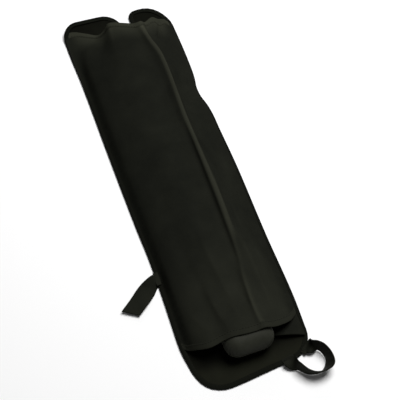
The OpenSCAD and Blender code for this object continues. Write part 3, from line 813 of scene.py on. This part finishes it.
def materials():
    bag, stand = bpy.context.scene.bag_settings, bpy.context.scene.stand_settings
    return {
        # coated shell: dull black with a faint olive tint, no gloss, paler in random brushed patches and where
        # highlights are painted on fold crests and hemmed ends
        "shell": woven_cloth("coated woven polyester", bag.shell, bag.shell_patch_and_highlight, 0.6, 0.06, 0.0, 0.6),
        # uncoated lining: rougher and darker than the shell; its paler colour also takes the painted light on
        # the flap
        "lining": woven_cloth("plain woven lining", bag.lining, linear("282920"), 0.6, 0.05, 0.02, 0.8),
        # binding tape: coarser ribs that draw a line round the edge
        "tape": woven_cloth("ribbed binding tape", bag.tape, linear("1a1b17"), 0.9, 0.12, 0.03, 0.7),
        # webbing: deep, wide ribs with a slight shine
        "webbing": woven_cloth(
            "woven polypropylene webbing", bag.webbing, linear("262722"), 1.6, 0.3, 0.05, 0.65
        ),
        # thread: fine twist, a little paler than the tape
        "thread": woven_cloth("sewing thread", bag.thread, linear("22231e"), 0.5, 0.05, 0.05, 0.6),
        # nylon: matt and fine grained, the palest of the dark parts
        "hub": moulded_plastic("moulded nylon", stand.hub, linear("33342c"), 0.68),
        # powder coat: satin black with orange peel
        "enamel": coated_metal("powder coated steel", stand.enamel, 0.0, 0.45, 1800.0, 0.04),
        # bright plating: near mirror
        "plate": coated_metal("bright plated steel", linear("c4c6c8"), 1.0, 0.16, 600.0, 0.01),
        # zinc: grey and half dull
        "steel": coated_metal("zinc plated steel", linear("8f9192"), 1.0, 0.38, 900.0, 0.02),
        # rubber: black and dull
        "rubber": moulded_plastic("moulded rubber", linear("101010"), linear("1c1c1b"), 0.8),
    }


# ---------------------------------------------------------------- stage values

FLOOR_SIZE = 12  # m
# name, place and size in metres, power in watts
LIGHTS = (("key_light", (0.7, 0.3, 1.9), 1.1, 50), ("back_light", (0.1, 1.5, 0.9), 0.8, 2))
CAMERA_TILT, CAMERA_TURN = 61, 19.75  # degrees above the floor, and round to the left of the mouth
CAMERA_TARGET, CAMERA_DISTANCE = (0.0142, -0.0307, 0), 1.379  # m
CAMERA_LENS = 104.76  # mm, on a 36 mm wide sensor


# ---------------------------------------------------------------- operators


class BAG_OT_back(bpy.types.Operator):
    """Back sheet with its end tabs and flap, its binding tape and its stitches"""

    bl_idname = "bag.back"
    bl_label = "Back sheet"

    def execute(self, context):
        made = materials()
        sheet = BackSheet()
        cloth = back_sheet_mesh("back_cloth", sheet)
        thicken(cloth, 0.9, 0.0)
        finish_piece(cloth, "fold", "lining_cloth", made["lining"])
        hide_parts("back_panel", "closure_flap")
        outline = sheet.edge()
        n = len(outline)
        flat = np.array([sheet.point(x, y) for x, y in outline])
        way = np.roll(flat, -1, axis=0) - np.roll(flat, 1, axis=0)
        inward = np.column_stack([-way[:, 1], way[:, 0], 0 * way[:, 0]])
        y = np.array(outline)[:, 1]
        # 1 where the binding also holds the front panel, 0 at the tabs and the flap
        double = (1 - smooth_step(y, END - 1, END + 9)) * smooth_step(y, MOUTH - 9, MOUTH + 1)
        flat[:, 2] += 0.45 * double
        binding = tape("edge_tape", flat, inward, 6.0, 1.8 + 0.8 * double, closed=True)
        finish_piece(binding, "fold", "binding_tape", made["tape"])
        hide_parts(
            "left_binding",
            "right_binding",
            "left_tab_binding",
            "right_tab_binding",
            "flap_binding",
        )
        inward /= np.linalg.norm(inward, axis=1)[:, None]
        row = flat + inward * 4.4
        row[:, 2] += 0.5 + 0.4 * double
        row = np.vstack([row, row[:1]])
        seam = stitches("edge_stitches", row, np.tile((0, 0, 1.0), (n + 1, 1)))
        finish_piece(seam, "fold", "binding_tape", made["thread"])
        return {"FINISHED"}


class BAG_OT_front(bpy.types.Operator):
    """Front panel, its hems and their stitches"""

    bl_idname = "bag.front"
    bl_label = "Front panel"

    def execute(self, context):
        made = materials()
        rows = FrontCloth().grid()
        # the front cloth carries its painted highlights as a vertex attribute
        cloth = grid_object("front_cloth", rows, painted_highlights(rows))
        thicken(cloth, context.scene.bag_settings.cloth_t / MM, inner_slot=1)
        finish_piece(cloth, "bag", "shell_cloth", made["shell"], made["lining"])
        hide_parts("front_panel")
        normal = np.cross(np.gradient(rows, axis=1), np.gradient(rows, axis=0))
        normal /= np.linalg.norm(normal, axis=2)[:, :, None]
        # name, rows of the sheet, the stitched row, its shift along the bag, its painted highlight, and the CAD
        # node
        hems = (
            ("mouth_hem_fold", slice(0, 4), 3, -1.2, 0.2, "mouth_hem"),
            ("end_hem_fold", slice(-4, None), -4, 1.2, 0.55, "end_hem"),
        )
        for name, band, line, out, painted_light, cad in hems:
            inner = rows[band, 9:-9] + normal[band, 9:-9] * 0.45
            # painted highlight: the whole hem strip is lightened evenly, most on the far end hem
            hem = grid_object(name, inner, np.full(inner.shape[:2], painted_light))
            thicken(hem, 1.7)
            round_edges(hem, 0.35)
            finish_piece(hem, "bag", "binding_tape", made["shell"])
            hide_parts(cad)
            row = rows[line, 12:-12] + normal[line, 12:-12] * 0.55
            row[:, 1] += out
            seam = stitches(name + "_stitches", row, normal[line, 12:-12])
            finish_piece(seam, "bag", "binding_tape", made["thread"])
        return {"FINISHED"}


class BAG_OT_facing(bpy.types.Operator):
    """Inner layer whose hemmed edge shows beside the stand at the mouth"""

    bl_idname = "bag.facing"
    bl_label = "Mouth facing"

    def execute(self, context):
        made = materials()
        front_edge = through([(32, -224, 6.0), (46, -228, 7.5), (56, -230.5, 5.5), (66, -233.5, 2.6)])
        rows = []
        for t in np.linspace(0, 1, 14):
            row = []
            for x in np.linspace(33, 66, 24):
                y, z = front_edge(x)[0]
                back = MOUTH + 10
                row.append((x, y + (back - y) * t, z * (1 - t) ** 0.7 * 0.9 + 2.4))
            rows.append(row)
        piece = grid_object("facing_cloth", np.array(rows))
        thicken(piece, context.scene.bag_settings.cloth_t / MM)
        finish_piece(piece, "bag", "lining_cloth", made["shell"])
        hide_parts("mouth_facing")
        return {"FINISHED"}


class BAG_OT_webbing(bpy.types.Operator):
    """Loop handle, side strap and their sewn ends"""

    bl_idname = "bag.webbing"
    bl_label = "Webbing"

    def execute(self, context):
        made = materials()
        t = np.linspace(0, LOOP_RUN, 110)
        loop = ribbon("loop_webbing", loop_path(t), loop_across(t), 16.5, 1.5)
        finish_piece(loop, "loop_root", "webbing", made["webbing"])
        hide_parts("loop_handle")
        for number, root in enumerate(LOOP_ROOTS):
            patch = sewn_root(number, *root, made)
            if number == 0:
                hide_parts("loop_anchors")
        anchor_y = (ANCHOR_BOX[0][1] + ANCHOR_BOX[1][1]) / 2 / MM
        zigzag = [
            (-59.5 - 4.8 * (k % 2), anchor_y + 6 - k * 1.2, 3.9 + 0.5 * (k % 2 == 0)) for k in range(11)
        ]
        dense = densely(zigzag, 4)
        tack = stitches("strap_bartack", dense, np.tile((-0.2, 0, 1.0), (len(dense), 1)), 1.7, 1.6, 0.7)
        finish_piece(tack, "bag", "webbing", made["thread"])
        t = np.linspace(0, STRAP_RUN, 62)
        middle = strap_path(t) + (0, anchor_y, 0)
        strap = ribbon("strap_webbing", middle, strap_across(t), strap_width(t)[:, 0], 1.4, skew=0.35)
        finish_piece(strap, "strap_root", "webbing", made["webbing"])
        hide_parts("side_strap")
        return {"FINISHED"}


class BAG_OT_stand(bpy.types.Operator):
    """Finishes for the folded stand's own parts"""

    bl_idname = "bag.stand"
    bl_label = "Folded stand"

    def execute(self, context):
        made = materials()
        # the frame's slot, and the finish it gets
        finish = {
            "hub_plastic": "hub", "black_tube": "enamel", "bright_tube": "plate", "foot_rubber": "rubber",
            "rivet_steel": "steel", "desk_enamel": "enamel", "spring_wire": "plate", "webbing": "webbing",
            "shell_cloth": "shell", "lining_cloth": "lining", "binding_tape": "tape",
        }
        for row in frame["record"]["subparts"]:
            obj = bpy.data.objects.get(row["node"])
            if obj is None:
                continue
            mat = made[finish[row["material_slot"]]]
            for slot in obj.material_slots:
                slot.material = mat
        return {"FINISHED"}


class BAG_OT_stage(bpy.types.Operator):
    """Pale floor, soft studio light and the camera"""

    bl_idname = "bag.stage"
    bl_label = "Stage"

    def execute(self, context):
        bpy.ops.object.select_all(action="DESELECT")
        bpy.ops.mesh.primitive_plane_add(size=FLOOR_SIZE, location=(0, 0, -0.0005))
        floor = context.active_object
        floor.name = "studio_floor"
        mat = bpy.data.materials.new("pale studio floor")
        mat.use_nodes = True
        shader = mat.node_tree.nodes["Principled BSDF"]
        shader.inputs["Base Color"].default_value = (0.97, 0.97, 0.97, 1)
        shader.inputs["Roughness"].default_value = 0.9
        shader.inputs["Specular IOR Level"].default_value = 0.1
        floor.data.materials.append(mat)
        world = bpy.data.worlds.new("studio")
        world.use_nodes = True
        world.node_tree.nodes["Background"].inputs["Color"].default_value = (1, 1, 1, 1)
        world.node_tree.nodes["Background"].inputs["Strength"].default_value = 0.08
        context.scene.world = world
        for name, place, size, power in LIGHTS:
            light = bpy.data.lights.new(name, "AREA")
            light.size = size
            light.energy = power
            obj = bpy.data.objects.new(name, light)
            obj.location = place
            obj.rotation_euler = (-Vector(place)).to_track_quat("-Z", "Y").to_euler()
            context.scene.collection.objects.link(obj)
        tilt, turn = math.radians(CAMERA_TILT), math.radians(CAMERA_TURN)
        back = Vector((-math.sin(turn) * math.cos(tilt), -math.cos(turn) * math.cos(tilt), math.sin(tilt)))
        cam = bpy.data.cameras.new("camera")
        cam.sensor_width = 36
        cam.lens = CAMERA_LENS
        cam.clip_start, cam.clip_end = 0.01, 20
        obj = bpy.data.objects.new("camera", cam)
        obj.location = Vector(CAMERA_TARGET) + back * CAMERA_DISTANCE
        right = Vector((math.cos(turn), -math.sin(turn), 0))
        up = back.cross(right)
        obj.rotation_euler = Matrix((right, up, back)).transposed().to_euler()
        context.scene.collection.objects.link(obj)
        context.scene.camera = obj
        context.scene.view_settings.view_transform = "Standard"
        return {"FINISHED"}


class BAG_PT_panel(bpy.types.Panel):
    """Lists the pieces"""

    bl_label = "Stand bag"
    bl_idname = "BAG_PT_panel"
    bl_space_type = "VIEW_3D"
    bl_region_type = "UI"
    bl_category = "Stand Bag"

    def draw(self, context):
        for op in OPERATORS:
            self.layout.operator(op.bl_idname)
        for group in (context.scene.bag_settings, context.scene.stand_settings):
            for key in group.__annotations__:
                self.layout.prop(group, key)


OPERATORS = (BAG_OT_stage, BAG_OT_stand, BAG_OT_back, BAG_OT_front, BAG_OT_facing, BAG_OT_webbing)
CLASSES = (BagSettings, StandSettings) + OPERATORS + (BAG_PT_panel,)


def register():
    for c in CLASSES:
        bpy.utils.register_class(c)
    bpy.types.Scene.bag_settings = bpy.props.PointerProperty(type=BagSettings)
    bpy.types.Scene.stand_settings = bpy.props.PointerProperty(type=StandSettings)


def unregister():
    del bpy.types.Scene.stand_settings
    del bpy.types.Scene.bag_settings
    for c in reversed(CLASSES):
        bpy.utils.unregister_class(c)


def main():
    register()
    bpy.ops.bag.stage()
    bpy.ops.bag.stand()
    bpy.ops.bag.back()
    bpy.ops.bag.front()
    bpy.ops.bag.facing()
    bpy.ops.bag.webbing()


if __name__ == "__main__":
    main()
